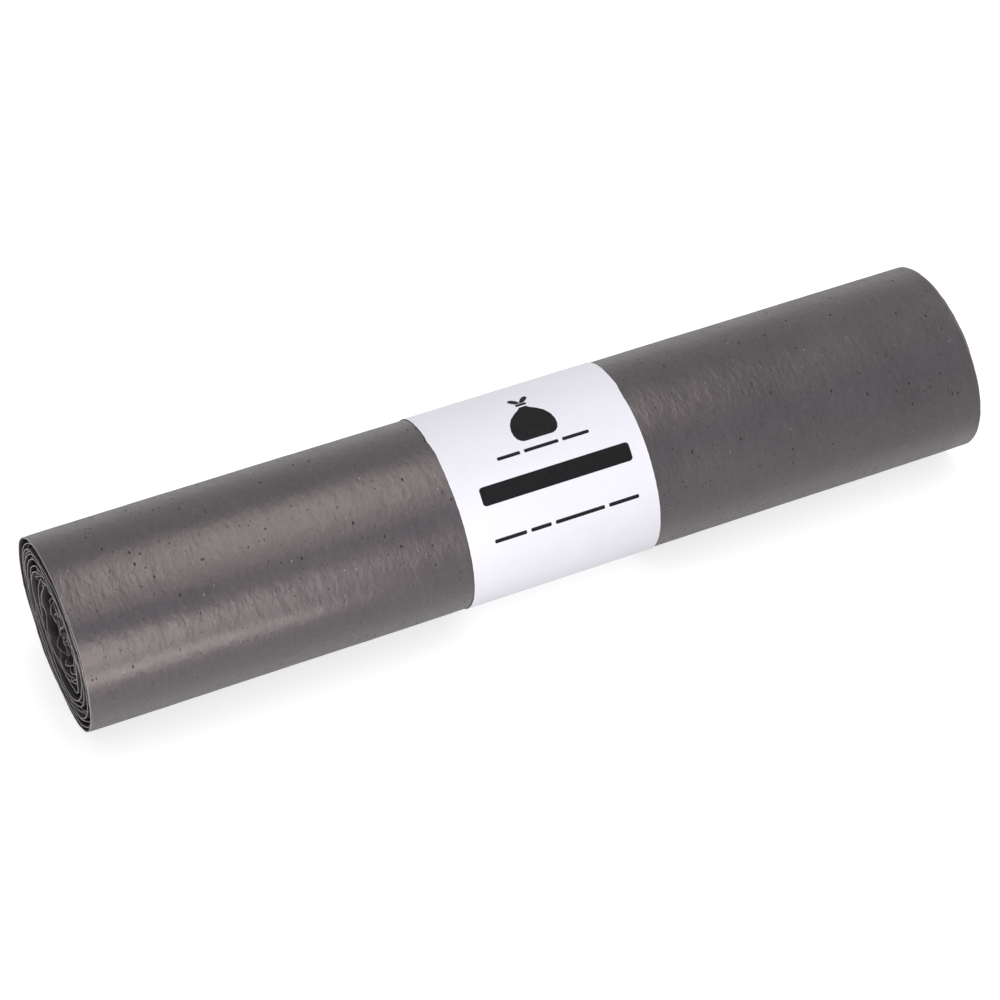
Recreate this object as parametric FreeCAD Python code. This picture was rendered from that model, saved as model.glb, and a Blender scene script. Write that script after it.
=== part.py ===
# A roll of bin bags: one long web of folded polythene bags, wound on itself without a core,
# and a paper band glued round its middle. The roll lies on its side on the small flat that
# its own weight presses into it. Millimetres; X runs along the roll, Z is up, and the origin
# is on the ground under the middle of the whole object.

import FreeCAD
import Part
import math
import os

V = FreeCAD.Vector

# Driving dimensions of the wound film
film_width = 354.0          # the folded web, from end to end of one turn
roll_diameter = 74.0
core_diameter = 27.0        # the loose middle, left when the winding spindle was drawn out
turns = 11                  # stacks of film that part from each other at the ends
pitch_growth = 2.0          # the innermost turns lie this many times further apart than the outermost
gap_outer = 0.35            # air between two turns under the surface
gap_inner = 0.75            # and beside the core
tail_step = 0.4             # height of the free end of the web above the turn below it
tail_gap = 0.15
tail_angle = -68.0          # degrees from the back (+Y) towards the top, so close to the ground

# How far the wound turns have slid and buckled
telescope = 0.4             # the innermost turns stand this far towards +X
telescope_turns = 3.5       # turns over which most of that slide builds up
end_lean = {-1: 2.1, 1: 2.2}            # each end stands askew, its edges this far towards +X
end_lean_angle = {-1: 150.0, 1: 227.0}  # at this angle, and as far towards -X opposite
ragged = 0.35               # each edge wanders this far from the even slide
ragged_waves = 2.3          # wanderings for each turn
buckle_depth = 3.0          # the innermost turn falls this far into the core
buckled_turns = 4.0
buckle_angles = (62.0, 205.0, 318.0)
buckle_spread = 36.0        # degrees to each side of a buckle
oval = 0.7                  # slack turns beside the core are this far out of round

# The start of the web, crumpled inside the core
fold_thickness = 0.7
fold_slide = 1.5            # the crumple stands back from the innermost turn
fold_path = ((0.72, 0.44), (0.26, 0.72), (-0.30, 0.64), (-0.68, 0.38), (-0.58, 0.08), (-0.16, 0.14),
             (0.32, 0.06), (0.44, -0.24), (0.10, -0.38), (-0.30, -0.36), (-0.66, -0.52))

# The flat that the roll lies on
flat_width = 12.0

# The paper band
band_width = 74.0
band_centre = 5.4           # from the middle of the whole object
band_paper = 0.2
band_clearance = 0.12       # between the film and the inside of the band
band_lap = 16.0             # glued overlap of the paper's two ends
band_lap_angle = -12.0      # where the outer end of the paper stops, degrees from the back
lap_ramp = 4.0              # the paper's climb onto its own other end

# How finely the curves are followed
stations_per_turn = 16
stations_per_fold = 4
breaks_per_turn = 2
breaks_in_fold = 6
flat_reach = 0.045          # of a turn, to each side of the flat

roll_radius = roll_diameter / 2
core_radius = core_diameter / 2
core_clear = core_radius - buckle_depth - oval
turn_at_ground = (270.0 - tail_angle) % 360.0 / 360.0
ground_radius = roll_radius - tail_step * turn_at_ground
axis_height = math.sqrt(ground_radius ** 2 - (flat_width / 2) ** 2)
mean_pitch = (roll_radius - tail_step - core_radius) / (turns - 1)
outer_pitch = 2 * mean_pitch / (1 + pitch_growth)
pitch_slope = outer_pitch * (pitch_growth - 1) / (turns - 1)


def smooth(t):
    """A soft step from 0 to 1."""
    t = min(1.0, max(0.0, t))
    return t * t * (3 - 2 * t)


def polar(radius, degrees):
    """(y, z) of a point round the roll's axis, with 0 at the back and 90 at the top."""
    a = math.radians(degrees)
    return radius * math.cos(a), axis_height + radius * math.sin(a)


def turn_angle(turn):
    """Where the web is after that many turns, counted inwards from its free end."""
    return tail_angle + 360.0 * turn


def bump(degrees, centre):
    """1 at the centre of a buckle and 0 away from it."""
    away = (degrees - centre + 180.0) % 360.0 - 180.0
    return math.exp(-(away / buckle_spread) ** 2)


def slackness(turn):
    """0 in the tight outer turns, growing to 1 at the innermost."""
    return smooth((turn - (turns - buckled_turns)) / buckled_turns)


def outer_radius(turn):
    """Outer face of the web."""
    wound = max(0.0, turn - 1)
    radius = roll_radius - tail_step * min(turn, 1.0)
    radius -= outer_pitch * wound + pitch_slope * wound ** 2 / 2
    angle = turn_angle(turn)
    buckle = sum(bump(angle, centre) for centre in buckle_angles)
    radius -= buckle_depth * buckle * slackness(turn) ** 2
    return radius + oval * slackness(turn) * math.sin(math.radians(2 * angle + 40))


def gap(turn):
    return tail_gap + (gap_outer - tail_gap) * min(turn, 1.0) + (gap_inner - gap_outer) * turn / turns


def stack_thickness(turn):
    """The web fills the space between its own next turn and this one, less the air."""
    wound = max(0.0, turn - 1)
    below = outer_pitch * max(0.0, turn) + pitch_slope * turn ** 2 / 2
    here = tail_step * min(turn, 1.0) + outer_pitch * wound + pitch_slope * wound ** 2 / 2
    space = tail_step + below - here
    thinning = smooth((turn - (turns - 1)) / 0.9)
    return (space - gap(turn)) * (1 - thinning) + fold_thickness * thinning


def slide(turn):
    """How far this turn has slipped along the roll."""
    wander = ragged * math.sin(2 * math.pi * ragged_waves * turn) * min(turn, 1.0)
    return telescope * (1 - math.exp(-turn / telescope_turns)) + wander


def wound_stations():
    """(outer point, inner point, slide, parameter) along the wound web, free end first."""
    found = []
    count = round(stations_per_turn * turns)
    for i in range(count + 1):
        turn = turns * i / count
        radius = outer_radius(turn)
        angle = turn_angle(turn)
        found.append((polar(radius, angle), polar(radius - stack_thickness(turn), angle),
                      slide(turn), turn))
    return found


def fold_stations(wound):
    """The same along the crumpled start of the web, which carries on from the last wound station."""
    lead = [V(0, (outer[0] + inner[0]) / 2, (outer[1] + inner[1]) / 2) for outer, inner, *_ in wound[-4:]]
    turned = math.radians(turn_angle(turns))
    points = []
    for along, across in fold_path:
        y = core_clear * (along * math.cos(turned) - across * math.sin(turned))
        z = core_clear * (along * math.sin(turned) + across * math.cos(turned))
        points.append(V(0, y, axis_height + z))
    centre = Part.BSplineCurve()
    centre.interpolate(lead + points)
    start, stop = centre.parameter(lead[-1]), centre.LastParameter
    found = []
    count = stations_per_fold * len(points)
    for i in range(1, count + 1):
        share = i / count
        at = start + share * (stop - start)
        middle = centre.value(at)
        along = centre.tangent(at)[0]
        side = V(0, along.z, -along.y) * (fold_thickness / 2)
        out, back = middle + side, middle - side
        found.append(((out.y, out.z), (back.y, back.z),
                      slide(turns) - fold_slide * smooth(3 * share), turns + share))
    return found


def edge_points(stations, side, end):
    """Along one long edge of the web: side 0 is its outer face and 1 its inner, end -1 or +1 along X."""
    turned = math.radians(end_lean_angle[end])
    found = []
    for station in stations:
        y, z = station[side]
        askew = (y * math.cos(turned) + (z - axis_height) * math.sin(turned)) / roll_radius
        found.append(V(end * film_width / 2 + station[2] + end_lean[end] * askew, y, z))
    return found


def edge_curves(stations):
    """The web's four long edges, moved so that the whole web is centred on the origin."""
    points = {(side, end): edge_points(stations, side, end) for side in (0, 1) for end in (-1, 1)}
    places = [point.x for edge in points.values() for point in edge]
    middle = V((min(places) + max(places)) / 2, 0, 0)
    curves = {}
    for key, edge in points.items():
        curves[key] = Part.BSplineCurve()
        moved = [point - middle for point in edge]
        curves[key].interpolate(Points=moved, Parameters=[s[3] for s in stations])
    return curves


def breaks():
    """Where the long faces are parted, because short surfaces stay exact: twice a turn, at both
    sides of the flat, and along the fold."""
    found = {i / breaks_per_turn for i in range(turns * breaks_per_turn)}
    found |= {turn_at_ground - flat_reach, turn_at_ground + flat_reach}
    found |= {turns + i / breaks_in_fold for i in range(breaks_in_fold + 1)}
    return sorted(found)


def cut_piece(curve, first, last):
    """The stretch of a curve between two of its parameters, as an edge."""
    piece = curve.copy()
    piece.segment(first, last)
    return piece.toShape()


def cross_face(edges, last):
    """The straight cut across the web at one of its two ends."""
    corners = [edges[key].Vertexes[-1 if last else 0].Point for key in ((0, -1), (0, 1), (1, 1), (1, -1))]
    return Part.Face(Part.makePolygon(corners + corners[:1]))


def wound_film():
    """The whole web as one solid, before the ground presses it flat."""
    stations = wound_stations()
    stations += fold_stations(stations)
    curves = edge_curves(stations)
    faces = []
    for first, last in zip(breaks(), breaks()[1:]):
        edges = {key: cut_piece(curve, first, last) for key, curve in curves.items()}
        for one, other in (((0, -1), (0, 1)), ((1, -1), (1, 1)), ((0, -1), (1, -1)), ((0, 1), (1, 1))):
            faces.append(Part.makeRuledSurface(edges[one], edges[other]))
        if first == 0:
            faces.append(cross_face(edges, False))
    faces.append(cross_face(edges, True))
    shell = Part.makeShell(faces)
    shell.sewShape()
    solid = Part.Solid(shell)
    if solid.Volume < 0:
        solid.reverse()
    return solid


def ground(top, low, high):
    """What lies below that height between two places along the roll."""
    depth = roll_radius
    return Part.makeBox(high - low, 4 * roll_radius, depth, V(low, -2 * roll_radius, top - depth))


def bag_roll():
    """The wound web, pressed flat where it lies on the ground and where it lies on the band."""
    on_ground = ground(0, -film_width, film_width)
    on_band = ground(band_paper + band_clearance, band_centre - band_width / 2 - band_clearance,
                     band_centre + band_width / 2 + band_clearance)
    return wound_film().cut(on_ground.fuse(on_band)).Solids[0]


def arc(radius, first, middle, last, end_radius=None):
    """An arc round the roll's axis, which may climb to another radius."""
    end_radius = end_radius or radius
    places = ((radius, first), ((radius + end_radius) / 2, middle), (end_radius, last))
    return Part.Arc(*[V(band_centre - band_width / 2, *polar(*place)) for place in places]).toShape()


def paper_band():
    """The paper, one sheet thick but for its glued lap, which ends in a step."""
    inner = roll_radius + band_clearance
    single, double = inner + band_paper, inner + 2 * band_paper
    lap_end = band_lap_angle
    lap_start = lap_end - math.degrees(band_lap / double)
    ramp_start = lap_start - math.degrees(lap_ramp / double)
    step = [V(band_centre - band_width / 2, *polar(radius, lap_end)) for radius in (double, single)]
    outline = Part.Wire([arc(single, lap_end, (lap_end + ramp_start) / 2 + 180, ramp_start + 360),
                         arc(single, ramp_start, (ramp_start + lap_start) / 2, lap_start, double),
                         arc(double, lap_start, (lap_start + lap_end) / 2, lap_end),
                         Part.makeLine(*step)])
    across = V(band_width, 0, 0)
    low, high = band_centre - band_width, band_centre + band_width
    paper = Part.Face(outline).extrude(across).cut(ground(0, low, high))
    inside = Part.makeCylinder(inner, band_width, V(band_centre - band_width / 2, 0, axis_height), V(1, 0, 0))
    return paper.cut(inside.cut(ground(band_paper, low, high))).Solids[0]


def build():
    return {"bag_roll": bag_roll(), "paper_band": paper_band()}


if __name__ == "__main__":
    os.makedirs("parts", exist_ok=True)
    for name, solid in build().items():
        print(name, solid.isValid(), round(solid.Volume / 1000, 2), "cm3")
        solid.exportStep("parts/" + name + ".step")
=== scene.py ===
# The looks of a roll of bin bags with a paper band round its middle.
# Lengths in this file are written in millimetres and turned into metres as a mesh is made.

import math

import bpy
import numpy as np
from mathutils import Matrix, Vector


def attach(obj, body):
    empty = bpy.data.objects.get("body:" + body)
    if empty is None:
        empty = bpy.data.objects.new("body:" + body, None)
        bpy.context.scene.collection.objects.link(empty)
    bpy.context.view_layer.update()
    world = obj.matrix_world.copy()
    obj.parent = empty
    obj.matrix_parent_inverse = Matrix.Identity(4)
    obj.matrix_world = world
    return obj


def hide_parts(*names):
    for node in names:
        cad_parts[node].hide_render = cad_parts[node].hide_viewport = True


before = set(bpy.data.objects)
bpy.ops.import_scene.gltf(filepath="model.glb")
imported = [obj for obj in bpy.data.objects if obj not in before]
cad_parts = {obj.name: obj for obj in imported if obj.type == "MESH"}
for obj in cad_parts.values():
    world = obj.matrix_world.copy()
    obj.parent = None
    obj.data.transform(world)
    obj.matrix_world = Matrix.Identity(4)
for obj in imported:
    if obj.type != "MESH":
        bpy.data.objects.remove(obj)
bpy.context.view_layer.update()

# The wound film, as in the part's source
film_width = 354.0
roll_radius = 37.0
core_radius = 13.5
turns = 11
pitch_growth = 2.0
gap_outer = 0.35
gap_inner = 0.75
tail_step = 0.4
tail_angle = -68.0
telescope = 0.4
telescope_turns = 3.5
end_lean = {-1: 2.1, 1: 2.2}
end_lean_angle = {-1: 150.0, 1: 227.0}
ragged = 0.35
ragged_waves = 2.3
buckle_depth = 3.0
buckled_turns = 4.0
buckle_angles = (62.0, 205.0, 318.0)
buckle_spread = 36.0
oval = 0.7
edge_spare = 0.7
droop_left = 0.14
droop_right = 0.06
droop_reach = 4.2
lifted_angle = 112.0
lifted_spread = 48.0
film_thickness = 0.34
axis_height = 36.13
slide_middle = 0.22
core_clear = core_radius - buckle_depth - oval
fold_path = ((0.72, 0.44), (0.26, 0.72), (-0.30, 0.64), (-0.68, 0.38), (-0.58, 0.08), (-0.16, 0.14),
             (0.32, 0.06), (0.44, -0.24), (0.10, -0.38), (-0.30, -0.36), (-0.66, -0.52))

# The paper band
band_centre = 5.5
band_width = 74.4
band_paper = 0.2
band_lift = 0.12
band_tilt = 0.93
band_lap_angle = -12.0
band_lap = 16.0

mean_pitch = (roll_radius - tail_step - core_radius) / (turns - 1)
outer_pitch = 2 * mean_pitch / (1 + pitch_growth)
pitch_slope = outer_pitch * (pitch_growth - 1) / (turns - 1)


class Noise:
    """Smooth noise in three dimensions, between about -1 and 1, the same on every run."""

    def __init__(self, seed):
        rng = np.random.RandomState(seed)
        self.order = np.tile(rng.permutation(256), 2)
        lean = rng.normal(size=(256, 3))
        self.lean = lean / np.linalg.norm(lean, axis=1)[:, None]

    def __call__(self, x, y, z):
        x, y, z = np.broadcast_arrays(np.asarray(x, float), y, z)
        base = [np.floor(v).astype(int) for v in (x, y, z)]
        part = [v - b for v, b in zip((x, y, z), base)]
        ease = [f * f * f * (f * (f * 6 - 15) + 10) for f in part]
        total = np.zeros(x.shape)
        for i in (0, 1):
            for j in (0, 1):
                for k in (0, 1):
                    a = self.order[(base[0] + i) & 255]
                    b = self.order[(a + base[1] + j) & 255]
                    lean = self.lean[self.order[(b + base[2] + k) & 255]]
                    dot = lean[..., 0] * (part[0] - i) + lean[..., 1] * (part[1] - j)
                    dot += lean[..., 2] * (part[2] - k)
                    wx = ease[0] if i else 1 - ease[0]
                    wy = ease[1] if j else 1 - ease[1]
                    wz = ease[2] if k else 1 - ease[2]
                    total += dot * wx * wy * wz
        return total * 1.5


broad, ridges, ripple, crumple, edge_drift, paper_wave = (Noise(seed) for seed in (3, 11, 19, 27, 41, 53))


def smooth(t):
    """An even step from 0 to 1 as t goes from 0 to 1."""
    t = np.clip(t, 0.0, 1.0)
    return t * t * (3 - 2 * t)


def turn_angle(turn):
    """Degrees round the roll, from the free end of the web at turn 0 inwards."""
    return tail_angle + 360.0 * np.asarray(turn, float)


def slackness(turn):
    """0 in the tight outer turns, rising to 1 at the core."""
    return smooth((turn - (turns - buckled_turns)) / buckled_turns)


def turn_radius(turn):
    """Outer face of the web, as in the part's source."""
    turn = np.asarray(turn, float)
    wound = np.maximum(0.0, turn - 1)
    radius = roll_radius - tail_step * np.minimum(turn, 1.0)
    radius = radius - outer_pitch * wound - pitch_slope * wound ** 2 / 2
    angle = turn_angle(turn)
    buckle = 0.0
    for centre in buckle_angles:
        away = (angle - centre + 180.0) % 360.0 - 180.0
        buckle = buckle + np.exp(-(away / buckle_spread) ** 2)
    radius = radius - buckle_depth * buckle * slackness(turn) ** 2
    return radius + oval * slackness(turn) * np.sin(np.radians(2 * angle + 40))


def stack(turn):
    """Thickness of the stack of film between this turn and the air under it."""
    wound = np.maximum(0.0, turn - 1)
    below = outer_pitch * np.maximum(0.0, turn) + pitch_slope * turn ** 2 / 2
    here = tail_step * np.minimum(turn, 1.0) + outer_pitch * wound + pitch_slope * wound ** 2 / 2
    air = gap_outer + (gap_inner - gap_outer) * turn / turns
    return tail_step + below - here - air


def slide(turn):
    """How far along the roll a turn has slid, with the wander of its edge."""
    wander = ragged * np.sin(2 * math.pi * ragged_waves * turn) * np.minimum(turn, 1.0)
    return telescope * (1 - np.exp(-turn / telescope_turns)) + wander - slide_middle


def around(radius, degrees):
    """The y and z of a place round the roll's axis."""
    a = np.radians(degrees)
    return radius * np.cos(a), axis_height + radius * np.sin(a)


def under_band(x, reach):
    """1 under the paper, falling to 0 that far outside it."""
    away = np.abs(x - band_centre) - band_width / 2
    return 1 - smooth(away / reach)


# Places where the film is more wrinkled: along the roll, round it, how far that reaches both ways, how much
wrinkled = ((-52.0, 172.0, 26.0, 24.0, 1.0), (-124.0, 162.0, 40.0, 14.0, 0.7),
            (-100.0, 128.0, 40.0, 12.0, 0.4), (-150.0, 108.0, 26.0, 20.0, 0.6),
            (-150.0, 155.0, 20.0, 13.0, 0.75), (62.0, 120.0, 22.0, 26.0, 0.5),
            (130.0, 150.0, 40.0, 30.0, 0.4), (-70.0, 20.0, 40.0, 30.0, 0.7),
            (90.0, -60.0, 40.0, 30.0, 0.8), (-120.0, -70.0, 40.0, 34.0, 0.8))


def film_relief(x, degrees):
    """How far the outermost film stands out of its even winding."""
    a = np.radians(degrees)
    y, z = roll_radius * np.cos(a), roll_radius * np.sin(a)
    slack = 0.14
    for px, pa, sx, sa, strength in wrinkled:
        away = (degrees - pa + 180.0) % 360.0 - 180.0
        slack = slack + strength * np.exp(-((x - px) / sx) ** 2 - (away / sa) ** 2)
    slack = np.minimum(slack, 1.0)
    rise = 0.085 * broad(x / 58, y / 40, z / 40)
    rise = rise + 0.05 * broad(x / 26 + 9, y / 22, z / 22)
    crease = 1 - np.abs(ridges(x / 17 + y / 90, y / 46, z / 46)) * 3.2
    rise = rise + 0.055 * np.maximum(crease, 0) ** 3 * smooth(0.5 + 1.2 * ridges(x / 40, y / 30, z / 30 + 5))
    rise = rise + (0.022 + 0.045 * slack) * ripple(x / 8, y / 22, z / 22)
    rise = rise + 0.062 * slack * ripple(x / 4.6, y / 9.5, z / 9.5)
    rise = rise + 0.030 * slack * ripple(x / 2.6, y / 5.0, z / 5.0)
    return rise


def edge_droop(x):
    """The film sinks a little towards its two cut edges."""
    left = np.maximum(x + film_width / 2, 0.0)
    right = np.maximum(film_width / 2 - x, 0.0)
    return droop_left * np.exp(-left / droop_reach) + droop_right * np.exp(-right / droop_reach)


def near_lifted(turn):
    """1 where the outermost film lifts at the right end, falling to 0 round the roll."""
    away = (turn_angle(turn) - lifted_angle + 180.0) % 360.0 - 180.0
    return np.exp(-(away / lifted_spread) ** 2)


def film_radius(turn, x):
    """Outer face of the outermost film with its relief, smoother where the paper holds it down."""
    held = under_band(x, 7.0)
    even = turn_radius(turn)
    pinch = 0.05 * under_band(x, 26.0) ** 2
    lifted = 0.20 * np.exp(-np.maximum(film_width / 2 - x, 0.0) / 1.5)
    lifted = lifted * near_lifted(turn)
    return even + film_relief(x, turn_angle(turn)) * (1 - 0.72 * held) - pinch - edge_droop(x) + lifted


def edge_flare(turn, from_edge, side, amount):
    """A film's edge leans in or out over its last few millimetres."""
    angle = np.radians(turn_angle(turn))
    drift = edge_drift(np.cos(angle) * 1.7 + side * 7.3, np.sin(angle) * 1.7, turn * 0.9)
    fine = edge_drift(np.cos(angle) * 6 + side * 3.1, np.sin(angle) * 6, turn * 1.7 + 20)
    return amount * (drift * np.exp(-from_edge / 5.0) + 0.45 * fine * np.exp(-from_edge / 2.2))


# Where the turns lie back at the left end, in turns, over how many turns, and how far
lying_back = ((1.27, 0.13, 3.2), (2.62, 0.20, 3.6), (4.70, 0.16, 2.4))


def edge_place(turn, side, seed_shift, rough, hidden=0.0):
    """Where a film ends along the roll: side -1 is the left end and +1 the right one.

    hidden is how far back in the roll its edge may lie.
    """
    angle = np.radians(turn_angle(turn))
    wave = edge_drift(np.cos(angle) * 1.3, np.sin(angle) * 1.3 + seed_shift, turn * 0.8 + side * 11)
    tear = edge_drift(np.cos(angle) * 9, np.sin(angle) * 9 + seed_shift, turn * 2.1 + side * 5)
    askew = np.cos(angle - math.radians(end_lean_angle[side])) * turn_radius(turn) / roll_radius
    place = side * (film_width / 2 + edge_spare) + slide(turn) + end_lean[side] * askew
    lies = edge_drift(np.cos(angle) * 1.1 + 4, np.sin(angle) * 1.1 + seed_shift, turn * 1.3 + side * 9)
    sags = edge_drift(np.cos(angle) * 1.6, np.sin(angle) * 1.6 + seed_shift, turn * 2.3 + side * 4)
    back = hidden * smooth(0.5 + 0.9 * lies) + slackness(turn) * (0.8 + 6.5 * smooth(0.45 + 0.8 * sags))
    if side < 0:
        for middle, spread, depth in lying_back:
            back = back + depth * np.exp(-((turn - middle) / spread) ** 2)
    return place + rough * (0.5 * wave + 0.18 * tear) - side * back


def wrap_edge(turn, side):
    """The outermost film's edge, rounded off at its free end and drawn in at the right end's upper front."""
    place = edge_place(turn, side, 0.0, 0.6)
    start = edge_place(np.array([0.0, 1.0]), side, 0.0, 0.6)
    place = place + (start[1] - start[0]) * (1 - smooth(turn / 0.14))
    place = place - side * 1.6 * (1 - smooth(turn / 0.05)) ** 2
    if side > 0:
        place = place - 1.25 * near_lifted(turn)
    return place


def make_object(name, points, faces, material, painted_edge_highlight=None, painted_gap_shade=None, sharp=None):
    """A piece from points in millimetres.

    Its two lists of values mark its cut edges, which the materials paint lighter as a painted highlight, and
    the film deep in the gaps between turns, which the film material paints darker as painted shade; sharp is
    the angle from which its edges stay sharp.
    """
    mesh = bpy.data.meshes.new(name)
    mesh.from_pydata([tuple(p) for p in np.asarray(points) / 1000.0], [], faces)
    mesh.validate()
    mesh.polygons.foreach_set("use_smooth", [True] * len(mesh.polygons))
    # Point attributes that the materials read: a painted highlight on cut edges and painted shade deep in the
    # gaps
    for label, values in (("painted_edge_highlight", painted_edge_highlight), ("painted_gap_shade", painted_gap_shade)):
        if values is not None:
            layer = mesh.attributes.new(label, "FLOAT", "POINT")
            layer.data.foreach_set("value", np.asarray(values, float).ravel())
    if sharp is not None:
        mesh.set_sharp_from_angle(angle=math.radians(sharp))
    mesh.materials.append(material)
    piece = bpy.data.objects.new(name, mesh)
    bpy.context.scene.collection.objects.link(piece)
    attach(piece, "root")
    return piece


def closed_strip(stations, loop):
    """Faces round a closed loop of points swept along stations, open at both ends."""
    faces = []
    for i in range(stations - 1):
        for j in range(loop):
            k = (j + 1) % loop
            faces.append((i * loop + j, i * loop + k, (i + 1) * loop + k, (i + 1) * loop + j))
    return faces


def lids(stations, loop, pairs):
    """Quads across a thin sheet's two ends, between matching columns of its two faces."""
    faces = []
    for (a, b), (c, d) in zip(pairs, pairs[1:]):
        faces.append((a, b, d, c))
        base = (stations - 1) * loop
        faces.append((base + a, base + c, base + d, base + b))
    return faces


def sheet(name, turn, outside, offset, thickness, left, right, columns, flare, extra=None, lid_columns=None,
          outermost=False):
    """Film as a closed thin sheet that follows the winding.

    turn runs along it. outside gives the radius of its outer face at a turn and a place along
    the roll, columns are the places across it as shares of its width, and left and right give
    its two edges.
    """
    n = len(turn)
    low, high = left(turn), right(turn)
    rounding = math.pi * np.array([0.16, 0.5, 0.84])
    half = thickness / 2
    xs_out = low[:, None] + half + (high - low - thickness)[:, None] * columns[None, :]
    back = columns[::-1] if lid_columns is None else lid_columns[::-1]
    xs_in = low[:, None] + half + (high - low - thickness)[:, None] * back[None, :]
    bulge = np.sin(rounding)
    drop = -np.cos(rounding)
    xs_right = (high - half)[:, None] + half * bulge[None, :]
    xs_left = (low + half)[:, None] - half * bulge[None, :]
    xs = np.concatenate([xs_out, xs_right, xs_in, xs_left], axis=1)
    level = np.concatenate([np.ones(xs_out.shape[1]), -drop, -np.ones(xs_in.shape[1]), drop])
    t = np.repeat(turn[:, None], xs.shape[1], axis=1)
    radius = outside(t, xs) - offset(t) - half + half * level[None, :]
    radius = radius + edge_flare(t, xs - low[:, None], -1, flare)
    radius = radius + edge_flare(t, high[:, None] - xs, 1, flare)
    if extra is not None:
        radius = radius + extra(t, xs)
    y, z = around(radius, turn_angle(t))
    lowest = half - half * level[None, :] + (band_paper + 0.1) * under_band(xs, 4.0)
    z = np.maximum(z, lowest)
    points = np.stack([xs, y, z], axis=-1).reshape(-1, 3)
    # Painted highlight along the film's cut edges, with a fainter line at the outer face's edge columns
    painted_edge_highlight = np.concatenate([np.zeros(xs_out.shape[1]), np.ones(3), np.zeros(xs_in.shape[1]), np.ones(3)])
    painted_edge_highlight[[0, xs_out.shape[1] - 1]] = 0.36 if outermost else 0.10
    # Painted shade: the film darkens with its distance from its ends, standing in for the shade deep in the
    # gaps between turns, less in the slack inner turns and not on the outermost film's outer face
    from_edge = np.minimum(xs - low[:, None], high[:, None] - xs)
    painted_gap_shade = smooth((from_edge - 0.25) / 3.2) * (1 - 0.92 * slackness(t))
    if outermost:
        painted_gap_shade[:, :xs_out.shape[1]] = 0.0
    loop = xs.shape[1]
    faces = closed_strip(n, loop)
    count_out, count_in = xs_out.shape[1], xs_in.shape[1]
    if count_out == count_in:
        pairs = [(j, count_out + 3 + count_in - 1 - j) for j in range(count_out)]
        faces += lids(n, loop, pairs)
        faces.append(tuple(range(count_out - 1, count_out + 4)))
        faces.append(tuple([0] + list(range(loop - 1, loop - 5, -1))))
        base = (n - 1) * loop
        faces.append(tuple(base + j for j in range(count_out + 3, count_out - 2, -1)))
        faces.append(tuple([base + j for j in range(loop - 4, loop)] + [base]))
    else:
        faces.append(tuple(range(loop)))
        faces.append(tuple((n - 1) * loop + j for j in range(loop - 1, -1, -1)))
    return make_object(name, points, faces, film, np.tile(painted_edge_highlight, n), painted_gap_shade)


def new_material(name):
    """A new material, the Tree of its nodes, and its shader."""
    material = bpy.data.materials.new(name)
    material.use_nodes = True
    tree = material.node_tree
    return material, Tree(tree), tree.nodes.get("Principled BSDF")


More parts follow.
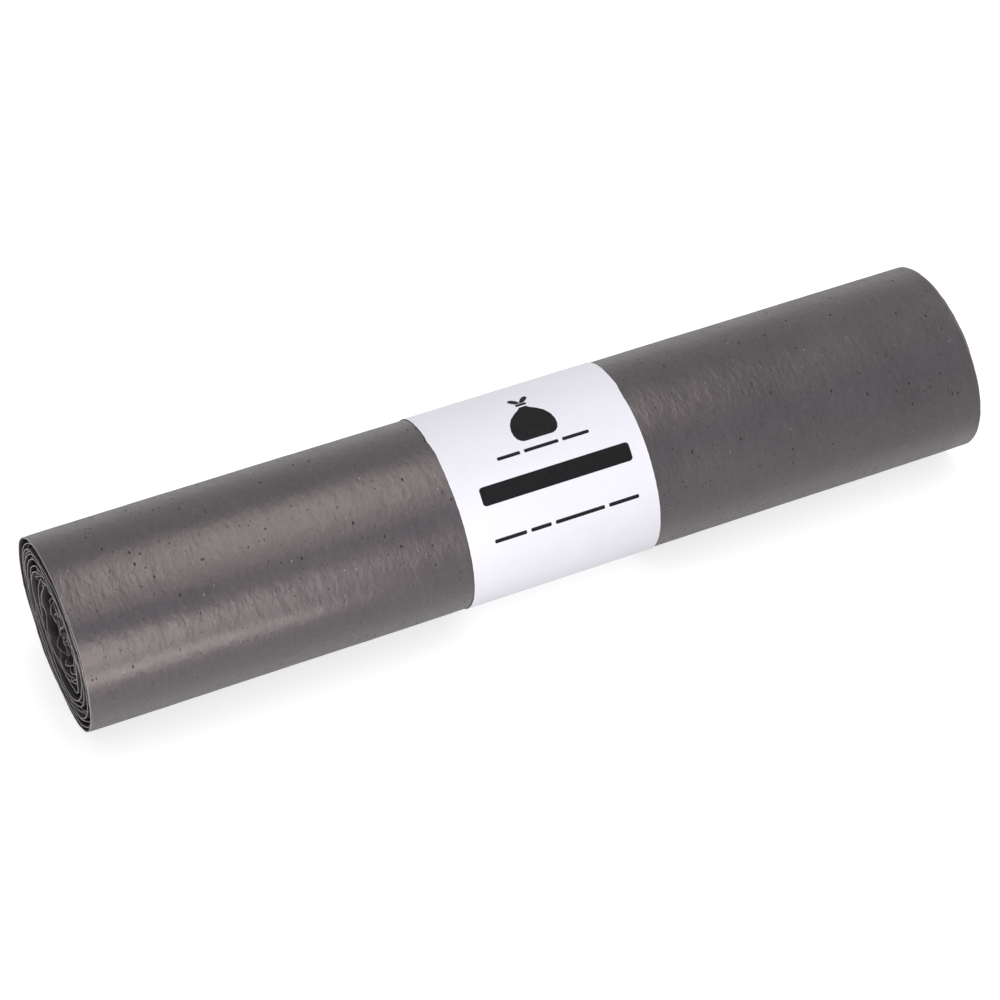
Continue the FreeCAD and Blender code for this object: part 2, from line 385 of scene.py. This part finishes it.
class Tree:
    """Short ways to add and join shader nodes."""

    def __init__(self, tree):
        self.tree = tree

    def add(self, kind, **settings):
        node = self.tree.nodes.new(kind)
        for key, value in settings.items():
            setattr(node, key, value)
        return node

    def join(self, a, b):
        self.tree.links.new(a, b)

    def stretched(self, scale, shift=(0, 0, 0)):
        place = self.add("ShaderNodeTexCoord")
        mapping = self.add("ShaderNodeMapping")
        mapping.inputs["Scale"].default_value = scale
        mapping.inputs["Location"].default_value = shift
        self.join(place.outputs["Object"], mapping.inputs["Vector"])
        return mapping.outputs["Vector"]

    def noise(self, scale, detail=3.0, rough=0.5, shift=(0, 0, 0), distortion=0.0):
        node = self.add("ShaderNodeTexNoise")
        node.inputs["Scale"].default_value = 1.0
        node.inputs["Detail"].default_value = detail
        node.inputs["Roughness"].default_value = rough
        node.inputs["Distortion"].default_value = distortion
        self.join(self.stretched(scale, shift), node.inputs["Vector"])
        return node.outputs["Fac"]

    def span(self, value, low, high, to_low=0.0, to_high=1.0, smooth_step=False):
        node = self.add("ShaderNodeMapRange")
        node.interpolation_type = "SMOOTHSTEP" if smooth_step else "LINEAR"
        for key, number in (("From Min", low), ("From Max", high), ("To Min", to_low), ("To Max", to_high)):
            node.inputs[key].default_value = number
        self.join(value, node.inputs["Value"])
        return node.outputs["Result"]

    def math(self, operation, a, b=None):
        node = self.add("ShaderNodeMath", operation=operation)
        for socket, value in zip(node.inputs, (a, b)):
            if value is None:
                continue
            if isinstance(value, (int, float)):
                socket.default_value = value
            else:
                self.join(value, socket)
        return node.outputs["Value"]

    def mix(self, share, a, b):
        node = self.add("ShaderNodeMix", data_type="RGBA")
        for key, value in ((0, share), (6, a), (7, b)):
            if isinstance(value, (int, float)):
                node.inputs[key].default_value = value
            elif isinstance(value, tuple):
                node.inputs[key].default_value = value + (1.0,)
            else:
                self.join(value, node.inputs[key])
        return node.outputs[2]

    def specks(self, spacing, size, share, shift=(0, 0, 0), stretch=0.6):
        """Small spots, a little longer round the roll than along it."""
        node = self.add("ShaderNodeTexVoronoi", feature="F1")
        node.inputs["Scale"].default_value = 1.0
        node.inputs["Randomness"].default_value = 1.0
        s = 1.0 / spacing
        self.join(self.stretched((s, s * stretch, s * stretch), shift), node.inputs["Vector"])
        cut = self.add("ShaderNodeSeparateColor")
        self.join(node.outputs["Color"], cut.inputs["Color"])
        kept = self.math("LESS_THAN", cut.outputs["Red"], share)
        grown = self.math("MULTIPLY_ADD", cut.outputs["Green"], 0.6)
        grown.node.inputs[2].default_value = 0.5
        near = self.math("DIVIDE", node.outputs["Distance"], grown)
        spot = self.span(near, size / spacing, 0.78 * size / spacing, 0.0, 1.0, True)
        return self.math("MULTIPLY", spot, kept)

    def bump(self, height, strength, distance, shader):
        node = self.add("ShaderNodeBump")
        node.inputs["Strength"].default_value = strength
        node.inputs["Distance"].default_value = distance
        self.join(height, node.inputs["Height"])
        self.join(node.outputs["Normal"], shader.inputs["Normal"])

    def background_seen(self):
        """1 for the camera's own rays and for those that gloss sends out, else 0."""
        path = self.add("ShaderNodeLightPath")
        seen = self.math("MAXIMUM", path.outputs["Is Camera Ray"], path.outputs["Is Glossy Ray"])
        return self.math("MAXIMUM", seen, path.outputs["Is Transmission Ray"])


def film_material():
    material, t, shader = new_material("recycled_film")
    blotch = t.noise((26, 20, 20), 4, 0.55)
    streak = t.noise((900, 60, 60), 4, 0.6, (3, 0, 0))
    fine = t.noise((420, 110, 110), 5, 0.65, (0, 2, 0))
    grain = t.noise((1500, 1100, 1100), 2, 0.5)
    mottle = t.noise((760, 520, 520), 3, 0.65, (6, 0, 2))
    tone = t.math("ADD", t.math("MULTIPLY", blotch, 0.35), t.math("MULTIPLY", streak, 0.14))
    tone = t.math("ADD", tone, t.math("MULTIPLY", fine, 0.19))
    tone = t.math("ADD", tone, t.math("MULTIPLY", mottle, 0.32))
    colour = t.mix(t.span(tone, 0.38, 0.62), (0.0475, 0.0437, 0.0532), (0.0760, 0.0694, 0.0798))
    lines = t.noise((34, 22, 22), 1.5, 0.5, (7, 1, 4), 0.6)
    scratch_line = t.math("ABSOLUTE", t.math("SUBTRACT", lines, 0.5))
    scratch = t.span(scratch_line, 0.0016, 0.0004)
    place = t.span(t.noise((70, 70, 70), 2, 0.5, (1, 9, 2)), 0.53, 0.60)
    scratch = t.math("MULTIPLY", scratch, place)
    colour = t.mix(t.math("MULTIPLY", scratch, 0.42), colour, (0.20, 0.185, 0.185))
    dark = t.specks(0.0028, 0.00043, 0.44)
    small = t.specks(0.0017, 0.00029, 0.46, (0.31, 0.17, 0.4))
    colour = t.mix(dark, colour, (0.002, 0.002, 0.003))
    colour = t.mix(t.math("MULTIPLY", small, 0.9), colour, (0.004, 0.004, 0.005))
    light = t.specks(0.0042, 0.00034, 0.30, (0.71, 0.47, 0.2), 0.8)
    colour = t.mix(t.math("MULTIPLY", light, 0.6), colour, (0.32, 0.30, 0.30))
    painted_edge_highlight = t.add("ShaderNodeAttribute", attribute_name="painted_edge_highlight")
    painted_gap_shade = t.add("ShaderNodeAttribute", attribute_name="painted_gap_shade")
    # Painted shade: near black where the film lies deep in the gaps between turns
    colour = t.mix(t.math("MULTIPLY", painted_gap_shade.outputs["Fac"], 0.86), colour, (0.004, 0.004, 0.005))
    # Painted highlight: a lighter grey on the film's cut edges, where they would catch the light
    colour = t.mix(t.math("MULTIPLY", painted_edge_highlight.outputs["Fac"], 0.92), colour, (0.38, 0.355, 0.36))
    t.join(colour, shader.inputs["Base Color"])
    gloss = t.math("ADD", t.math("MULTIPLY", blotch, 0.45), t.math("MULTIPLY", fine, 0.55))
    gloss = t.math("ADD", t.span(gloss, 0.36, 0.64, 0.235, 0.35), t.math("MULTIPLY", dark, 0.5))
    grazing = t.add("ShaderNodeLayerWeight")
    gloss = t.math("ADD", gloss, t.span(grazing.outputs["Facing"], 0.5, 0.92, 0.0, 0.24))
    t.join(t.math("ADD", gloss, t.math("MULTIPLY", small, 0.4)), shader.inputs["Roughness"])
    shader.inputs["IOR"].default_value = 1.51
    shader.inputs["Specular IOR Level"].default_value = 0.54
    shader.inputs["Specular Tint"].default_value = (1.0, 0.87, 0.80, 1.0)
    peel = t.noise((620, 300, 300), 2.5, 0.5, (4, 8, 1), 0.4)
    swell = t.noise((240, 130, 130), 2, 0.5, (2, 2, 9))
    height = t.math("ADD", peel, t.math("MULTIPLY", swell, 1.2))
    height = t.math("ADD", height, t.math("MULTIPLY", streak, 0.12))
    height = t.math("ADD", height, t.math("MULTIPLY", grain, 0.05))
    height = t.math("ADD", height, t.math("MULTIPLY", dark, 0.12))
    height = t.math("ADD", height, t.math("MULTIPLY", small, 0.08))
    t.bump(height, 1.0, 0.00012, shader)
    return material


def paper_material():
    material, t, shader = new_material("band_paper")
    cloud = t.noise((90, 90, 90), 4, 0.6)
    fibre = t.noise((1700, 420, 420), 4, 0.7, (5, 3, 1))
    tone = t.math("ADD", t.math("MULTIPLY", cloud, 0.5), t.math("MULTIPLY", fibre, 0.5))
    colour = t.mix(t.span(tone, 0.3, 0.7), (0.812, 0.806, 0.880), (0.858, 0.852, 0.928))
    # Painted highlight: near white along the paper's cut edges
    painted_edge_highlight = t.add("ShaderNodeAttribute", attribute_name="painted_edge_highlight")
    colour = t.mix(t.math("MULTIPLY", painted_edge_highlight.outputs["Fac"], 0.85), colour, (0.96, 0.96, 0.97))
    t.join(colour, shader.inputs["Base Color"])
    t.join(t.span(fibre, 0.3, 0.7, 0.52, 0.66), shader.inputs["Roughness"])
    shader.inputs["Specular IOR Level"].default_value = 0.35
    t.bump(t.math("ADD", fibre, t.math("MULTIPLY", cloud, 1.5)), 0.35, 0.00005, shader)
    return material


def ink_material():
    material, t, shader = new_material("printing_ink")
    fibre = t.noise((1700, 420, 420), 4, 0.7, (5, 3, 1))
    cloud = t.noise((300, 300, 300), 3, 0.6)
    colour = t.mix(t.span(fibre, 0.35, 0.75), (0.004, 0.004, 0.005), (0.010, 0.010, 0.012))
    t.join(colour, shader.inputs["Base Color"])
    t.join(t.span(cloud, 0.3, 0.7, 0.50, 0.64), shader.inputs["Roughness"])
    shader.inputs["Specular IOR Level"].default_value = 0.14
    t.bump(fibre, 0.3, 0.00004, shader)
    return material


film = film_material()
paper = paper_material()
ink = ink_material()


def edge_columns(inner_step, middle):
    """Shares of the width, close together at both edges and sparse between."""
    near = np.array([0.0, 0.35, 0.8, 1.4, 2.2, 3.3, 4.8, 7.0, 10.0, 15.0, 24.0][::inner_step]) / film_width
    return np.concatenate([near, np.linspace(near[-1], 1 - near[-1], middle + 2)[1:-1], 1 - near[::-1]])


def even_turns(first, last, step):
    """Turns spaced evenly along the film."""
    t = np.linspace(first, last, 4000)
    mean_radius = 0.5 * (turn_radius(t[1:]) + turn_radius(t[:-1]))
    length = np.concatenate([[0], np.cumsum(np.diff(t) * 2 * math.pi * mean_radius)])
    return np.interp(np.linspace(0, length[-1], int(length[-1] / step) + 1), length, t)


# The outermost turn of film, fine enough to carry its ripples and creases
columns = np.unique(np.concatenate([edge_columns(1, 3), np.linspace(0.02, 0.98, 262)]))
sparse = edge_columns(1, 14)
wrap = sheet("outer_film", even_turns(0.0, 1.0, 0.93), film_radius, lambda t: 0.0 * t, film_thickness,
             lambda t: wrap_edge(t, -1), lambda t: wrap_edge(t, 1),
             columns, 0.12, lid_columns=sparse, outermost=True)


# The turns under it, each as three plies that part at the ends
def slack_turns(t, x):
    """Slack inner turns ripple, most of all near their edges."""
    y, z = around(turn_radius(t), turn_angle(t))
    to_edge = np.minimum(x + film_width / 2, film_width / 2 - x)
    reach = np.exp(-np.maximum(to_edge, 0) / 26.0)
    loose = slackness(t)
    wave = crumple(x / 11, y / 9, z / 9) + 0.5 * crumple(x / 4.5 + 3, y / 5, z / 5)
    return 1.0 * wave * loose * (0.25 + 0.75 * reach)


plies = (("turns_outer_ply", 1.0, 11.0, 1.5, lambda t: 0.0 * t, film_thickness, 0.2, 0.9, 0.34, 1),
         ("turns_middle_ply", 0.9, 10.9, 2.0, lambda t: 0.52 * stack(t), 0.22, 8.0, 1.8, 0.34, 2),
         ("turns_inner_ply", 0.8, 10.8, 2.0, lambda t: stack(t) - 0.26, 0.26, 6.5, 1.2, 0.3, 2))
shown_plies = [wrap]
for index, (name, first, last, step, offset, thickness, hidden, rough, flare, every) in enumerate(plies):
    shown_plies.append(sheet(
        name, even_turns(first, last, step), lambda t, x: turn_radius(t) - edge_droop(x), offset, thickness,
        lambda t, h=hidden, g=rough, s=index: edge_place(t, -1, 3.0 * s, g, h),
        lambda t, h=hidden, g=rough, s=index: edge_place(t, 1, 3.0 * s, g, h),
        edge_columns(every, 4), flare, extra=slack_turns))


def spline(points, count):
    """A smooth open line through the points, evenly sampled."""
    p = np.asarray(points, float)
    p = np.vstack([2 * p[0] - p[1], p, 2 * p[-1] - p[-2]])
    found = []
    for i in range(1, len(p) - 2):
        for s in np.linspace(0, 1, 40, endpoint=False):
            a, b, c, d = p[i - 1], p[i], p[i + 1], p[i + 2]
            found.append(0.5 * (2 * b + (c - a) * s + (2 * a - 5 * b + 4 * c - d) * s ** 2
                                + (3 * b - a - 3 * c + d) * s ** 3))
    found = np.array(found)
    length = np.concatenate([[0], np.cumsum(np.linalg.norm(np.diff(found, axis=0), axis=1))])
    at = np.linspace(0, length[-1], count)
    return np.stack([np.interp(at, length, found[:, i]) for i in (0, 1)], axis=1)


def crumpled_film(name, points, count, thickness, low, high, amount, seed):
    """Film folded along a line in the core and crumpled along the roll, as a closed thin sheet."""
    noise = Noise(seed)
    line = spline(points, count)
    run = np.gradient(line, axis=0)
    run /= np.linalg.norm(run, axis=1)[:, None]
    side = np.stack([-run[:, 1], run[:, 0]], axis=1)
    near = np.array([0, 0.4, 0.9, 1.6, 2.5, 3.6, 5.0, 6.6, 8.4, 10.5, 13.0, 16.0, 20.0, 26.0, 36.0])
    s = np.linspace(0, 1, count)
    start = low + 3.2 * noise(s * 5, 0.3, 0.7) + 0.8 * noise(s * 19, 1.3, 0.2)
    stop = high + 3.2 * noise(s * 5, 4.3, 2.7) + 0.8 * noise(s * 19, 7.3, 0.9)
    x = np.concatenate([start[:, None] + near[None, :], np.zeros((count, 3)) + np.array([-90.0, 0.0, 90.0]),
                        stop[:, None] - near[None, ::-1]], axis=1)
    cols = x.shape[1]
    sy, sz = line[:, 0][:, None], line[:, 1][:, None]
    fold = noise(x / 7.5, sy / 4.5, sz / 4.5)
    fold = fold + 0.55 * (1 - 2.4 * np.abs(noise(x / 4.2 + 5, sy / 3.3, sz / 3.3)))
    fold = fold + 0.35 * noise(x / 2.2, sy / 1.7, sz / 1.7 + 4)
    to_end = np.minimum(x - start[:, None], stop[:, None] - x)
    push = amount * fold * (1 + 1.3 * np.exp(-np.maximum(to_end, 0) / 8.0))
    faces_of = []
    for sign in (1, -1):
        y = sy + side[:, 0][:, None] * (push + sign * thickness / 2)
        z = sz + side[:, 1][:, None] * (push + sign * thickness / 2)
        faces_of.append(np.stack([x, y, z + axis_height], axis=-1))
    loop = np.concatenate([faces_of[0], faces_of[1][:, ::-1]], axis=1)
    # Painted highlight on the folded film's cut edges
    painted_edge_highlight = np.zeros(2 * cols)
    painted_edge_highlight[[0, cols - 1, cols, 2 * cols - 1]] = 0.6
    faces = closed_strip(count, 2 * cols)
    faces += lids(count, 2 * cols, [(j, 2 * cols - 1 - j) for j in range(cols)])
    # Painted shade: the core's film darkens a little away from its ends
    painted_gap_shade = 0.10 * smooth((to_end - 3.0) / 20.0)
    painted_gap_shade = np.concatenate([painted_gap_shade, painted_gap_shade[:, ::-1]], axis=1)
    return make_object(name, loop.reshape(-1, 3), faces, film, np.tile(painted_edge_highlight, count), painted_gap_shade)


# The crumpled start of the web in the open core
turned = math.radians(tail_angle)
lead = [np.array(around(turn_radius(t) - 0.3, turn_angle(t))) - [0, axis_height]
        for t in (10.86, 10.92, 10.98)]
folded = [core_clear * np.array([a * math.cos(turned) - b * math.sin(turned),
                                 a * math.sin(turned) + b * math.cos(turned)]) for a, b in fold_path]
ends = (-film_width / 2 + 3.0, film_width / 2 - 3.0)
shown_plies.append(crumpled_film("core_fold", lead + folded, 110, 0.3, ends[0], ends[1], 0.55, 61))
tuck_a = [(7.5, -5.6), (8.3, -0.5), (6.6, 4.2), (2.0, 7.3), (-2.4, 6.6), (-1.0, 3.9), (2.9, 4.3),
          (5.4, 1.1), (5.0, -3.4)]
tuck_b = [(-8.2, 2.4), (-8.9, -1.6), (-6.3, -5.9), (-2.2, -8.3), (1.2, -7.9), (0.6, -5.2),
          (-3.2, -4.8), (-5.6, -1.6)]
shown_plies.append(crumpled_film("core_tuck_a", tuck_a, 90, 0.26, ends[0] + 1.8, ends[1] - 2.0, 0.5, 67))
shown_plies.append(crumpled_film("core_tuck_b", tuck_b, 90, 0.26, ends[0] + 0.6, ends[1] - 3.0, 0.55, 71))
for piece in shown_plies:
    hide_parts("bag_roll")


# The paper band
lap_degrees = math.degrees(band_lap / roll_radius)
band_start = band_lap_angle - lap_degrees
band_stop = band_lap_angle + 360.0


def paper_radius(degrees, x):
    """Outer face of the paper."""
    share = (degrees - tail_angle) / 360.0
    over_tail = smooth((degrees - (tail_angle + 360.0 - 7.0)) / 6.0)
    radius = roll_radius + band_lift + band_paper - tail_step * (share - over_tail)
    a = np.radians(degrees)
    radius = radius + 0.034 * broad(x / 58, roll_radius * np.cos(a) / 40, roll_radius * np.sin(a) / 40)
    climb = smooth((degrees - (band_start + 360.0 - 9.0)) / 8.0)
    radius = radius + climb * (band_paper + 0.05)
    edge = band_width / 2 - np.abs(x - band_centre - band_skew(degrees))
    side = np.sign(x - band_centre)
    lift = 0.02 + 0.05 * np.maximum(paper_wave(np.cos(a) * 2 + side * 4, np.sin(a) * 2, 0.5), -0.3)
    radius = radius + lift * np.exp(-np.maximum(edge, 0) / 3.0)
    return radius + 0.03 * paper_wave(x / 17, np.cos(a) * 2.4, np.sin(a) * 2.4)


def band_skew(degrees):
    """The paper is wound a little askew."""
    return band_tilt * np.sin(np.radians(degrees - 133.0))


def band_edge(degrees, side):
    """The paper's left or right edge along the roll, a little uneven."""
    a = np.radians(degrees)
    uneven = 0.12 * paper_wave(np.cos(a) * 3, np.sin(a) * 3, side * 6.0)
    uneven = uneven + 0.09 * paper_wave(np.cos(a) * 17, np.sin(a) * 17, side * 3.0)
    bulge = 0.24 * np.exp(-((degrees - 86.0) / 3.2) ** 2) - 0.16 * np.exp(-((degrees - 96.0) / 3.6) ** 2)
    uneven = uneven + side * bulge
    return band_centre + side * band_width / 2 + band_skew(degrees) + uneven


def band_object():
    """The paper as one closed thin sheet with its lap."""
    degrees = np.linspace(band_start, band_stop, 300)
    n = len(degrees)
    near_edges = [0, 0.004, 0.01, 0.02, 0.035, 0.055, 0.945, 0.965, 0.98, 0.99, 0.996, 1]
    shares = np.unique(np.concatenate([near_edges, np.linspace(0.08, 0.92, 34)]))
    low, high = band_edge(degrees, -1), band_edge(degrees, 1)
    x = low[:, None] + (high - low)[:, None] * shares[None, :]
    d = np.repeat(degrees[:, None], x.shape[1], axis=1)
    outer = paper_radius(d, x)
    layers = []
    for depth in (0.0, band_paper):
        y, z = around(outer - depth, d)
        z = np.maximum(z, depth)
        layers.append(np.stack([x, y, z], axis=-1))
    cols = x.shape[1]
    loop = np.concatenate([layers[0], layers[1][:, ::-1]], axis=1)
    # Painted highlight along the paper's cut edges
    painted_edge_highlight = np.zeros(2 * cols)
    painted_edge_highlight[[0, cols - 1, cols, 2 * cols - 1]] = 1.0
    faces = closed_strip(n, 2 * cols)
    faces += lids(n, 2 * cols, [(j, 2 * cols - 1 - j) for j in range(cols)])
    piece = make_object("printed_band", loop.reshape(-1, 3), faces, paper, np.tile(painted_edge_highlight, n), sharp=50)
    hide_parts("paper_band")
    return piece


def printed(name, marks):
    """Ink on the paper, as closed thin shapes.

    A mark is a list of rows from its top down, each (degrees round the roll, left end, right end).
    """
    points, faces = [], []
    cols = 12
    step = 2 * cols
    for rows in marks:
        first = len(points)
        for degrees, left, right in rows:
            x = np.linspace(left, right, cols)
            d = np.full(cols, degrees)
            radius = paper_radius(d, x)
            for depth in (-0.03, 0.02):
                y, z = around(radius - depth, d)
                points += list(np.stack([x, y, z], axis=-1))
        last = first + (len(rows) - 1) * step
        for i in range(first, last, step):
            for a in range(i, i + cols - 1):
                faces.append((a, a + step, a + step + 1, a + 1))
                faces.append((a + cols, a + 1 + cols, a + step + 1 + cols, a + step + cols))
            right = i + cols - 1
            faces.append((i, i + cols, i + step + cols, i + step))
            faces.append((right, right + step, right + step + cols, right + cols))
        for j in range(cols - 1):
            faces.append((first + j, first + j + 1, first + j + 1 + cols, first + j + cols))
            faces.append((last + j, last + j + cols, last + j + 1 + cols, last + j + 1))
    return make_object(name, points, faces, ink, sharp=40)


def bar(centre_x, degrees, width, height, corner):
    """The rows of a bar with round corners."""
    rows = []
    arc = math.radians(1) * roll_radius
    round_off = corner / height
    places = [np.linspace(-0.5, -0.5 + round_off, 7), np.linspace(-0.5 + round_off, 0.5 - round_off, 9)[1:-1],
              np.linspace(0.5 - round_off, 0.5, 7)]
    for v in np.concatenate(places):
        depth = max(0.0, corner - (0.5 - abs(v)) * height)
        inset = corner - math.sqrt(max(0.0, corner ** 2 - depth ** 2))
        rows.append((degrees + v * height / arc, centre_x - width / 2 + inset, centre_x + width / 2 - inset))
    return rows


def dashes(left, degrees, widths, gap, height):
    """A row of bars of those widths."""
    marks = []
    for width in widths:
        marks.append(bar(left + width / 2, degrees, width, height, 0.3 * height))
        left += width + gap
    return marks


def outline_rows(centre_x, degrees, size, outline):
    """The rows of a shape given by its left and right ends from its top down, in shares of its size."""
    arc = math.radians(1) * roll_radius
    rows = []
    down = np.array([p[0] for p in outline])
    for v in np.linspace(down[0], down[-1], 30):
        left = np.interp(v, down, [p[1] for p in outline])
        right = np.interp(v, down, [p[2] for p in outline])
        rows.append((degrees + v * size / arc, centre_x + left * size, centre_x + right * size))
    return rows


band_object()

# The generic bag sign, given as shares of its size from its top down
bag_body = ((0.0, -0.07, 0.07), (0.04, -0.09, 0.09), (0.12, -0.2, 0.2), (0.22, -0.31, 0.31),
            (0.35, -0.385, 0.385), (0.48, -0.415, 0.415), (0.58, -0.41, 0.41), (0.66, -0.38, 0.38),
            (0.71, -0.33, 0.33), (0.735, -0.27, 0.27))
bag_knot = ((0.0, -0.085, 0.085), (0.012, -0.1, 0.1), (0.05, -0.1, 0.1), (0.062, -0.085, 0.085))
bag_ear = ((0.0, -0.15, -0.10), (0.05, -0.17, -0.04), (0.11, -0.13, 0.0), (0.165, -0.06, 0.02))
label_x = 6.0
bag_size = 21.0
mirrored_ear = tuple((down, -right, -left) for down, left, right in bag_ear)
printed("print_bag_sign", [outline_rows(label_x, 81.5, bag_size, bag_body),
                           outline_rows(label_x, 78.2, bag_size, bag_knot),
                           outline_rows(label_x - 0.3, 72.4, bag_size, bag_ear),
                           outline_rows(label_x + 0.3, 72.4, bag_size, mirrored_ear)])
printed("print_small_row", dashes(-12.0, 111.0, (9.0, 13.5, 10.5), 1.6, 1.3))
printed("print_heavy_row", [bar(label_x + 1.0, 129.0, 59.0, 7.0, 1.3)])
printed("print_fine_row", dashes(-21.5, 155.5, (12.5, 8.0, 19.5, 12.0), 1.7, 1.5))


# Floor, light and camera
lamp_colour = (1.0, 0.985, 0.97)
lamp_distance = 1.3


def floor_object():
    """A pale floor that the camera and all gloss see as white, with the roll's shadow on it."""
    mesh = bpy.data.meshes.new("floor")
    half = 3.0
    corners = [(-half, -half, 0), (half, -half, 0), (half, half, 0), (-half, half, 0)]
    mesh.from_pydata(corners, [], [(0, 1, 2, 3)])
    floor = bpy.data.objects.new("floor", mesh)
    bpy.context.scene.collection.objects.link(floor)
    material, t, shader = new_material("pale_floor")
    shader.inputs["Base Color"].default_value = (0.62, 0.62, 0.62, 1.0)
    shader.inputs["Roughness"].default_value = 0.9
    shader.inputs["Specular IOR Level"].default_value = 0.1
    shader.inputs["Emission Color"].default_value = (1.0, 1.0, 1.0, 1.0)
    t.join(t.math("MULTIPLY", t.background_seen(), 0.68), shader.inputs["Emission Strength"])
    mesh.materials.append(material)


def world_light(level):
    """Even light from all sides, and a white background."""
    world = bpy.data.worlds.new("plain_studio")
    bpy.context.scene.world = world
    world.use_nodes = True
    t = Tree(world.node_tree)
    background = world.node_tree.nodes["Background"]
    background.inputs["Color"].default_value = (1.0, 1.0, 1.0, 1.0)
    t.join(t.span(t.background_seen(), 0.0, 1.0, level, 1.0), background.inputs["Strength"])


def area_lamp(name, width, depth, radiance):
    """A rectangular lamp. radiance is how bright it looks, where 1 is white."""
    data = bpy.data.lights.new(name, "AREA")
    data.shape = "RECTANGLE"
    data.size = width
    data.size_y = depth
    data.energy = radiance * math.pi * width * depth
    data.color = lamp_colour
    lamp = bpy.data.objects.new(name, data)
    bpy.context.scene.collection.objects.link(lamp)
    return lamp


def soft_box(name, degrees, centre_x, width, depth, radiance):
    """A lamp at that angle round the roll's axis, facing the axis."""
    lamp = area_lamp(name, width, depth, radiance)
    a = math.radians(degrees)
    back = Vector((0.0, math.cos(a), math.sin(a)))
    along = Vector((1.0, 0.0, 0.0))
    lamp.matrix_world = Matrix((along, back.cross(along), back)).transposed().to_4x4()
    lamp.location = Vector((centre_x, 0.0, axis_height / 1000)) + back * lamp_distance


def low_panel(name, centre, width, depth, radiance):
    """A lit panel that lies on the floor in front of the roll and faces up, unseen by the camera."""
    lamp = area_lamp(name, width, depth, radiance)
    lamp.rotation_euler = (math.pi, 0.0, 0.0)
    lamp.location = centre
    lamp.visible_camera = False


def camera_object():
    """The photograph's view of the roll."""
    data = bpy.data.cameras.new("camera")
    data.sensor_width = 36.0
    data.lens = 100.8
    data.clip_start = 0.05
    data.clip_end = 50.0
    camera = bpy.data.objects.new("camera", data)
    right = Vector((0.91887, -0.3946, 0.0)).normalized()
    back = Vector((-0.26455, -0.616, 0.742)).normalized()
    up = back.cross(right).normalized()
    camera.matrix_world = Matrix((right, up, back)).transposed().to_4x4()
    camera.location = (-0.2818, -0.6442, 0.7724 + axis_height / 1000)
    bpy.context.scene.collection.objects.link(camera)
    bpy.context.scene.camera = camera


floor_object()
world_light(0.52)
soft_box("soft_box_above", 92.0, 0.13, 0.46, 1.62, 2.15)
soft_box("soft_box_above_middle", 88.0, 0.165, 0.39, 0.84, 2.45)
soft_box("soft_box_front", 165.4, 0.02, 0.48, 0.62, 1.55)
soft_box("soft_box_front_middle", 165.2, -0.085, 0.30, 0.60, 4.4)
low_panel("low_panel", (-0.23, -0.34, 0.002), 0.36, 0.38, 5.4)
camera_object()
bpy.context.scene.view_settings.view_transform = "Standard"
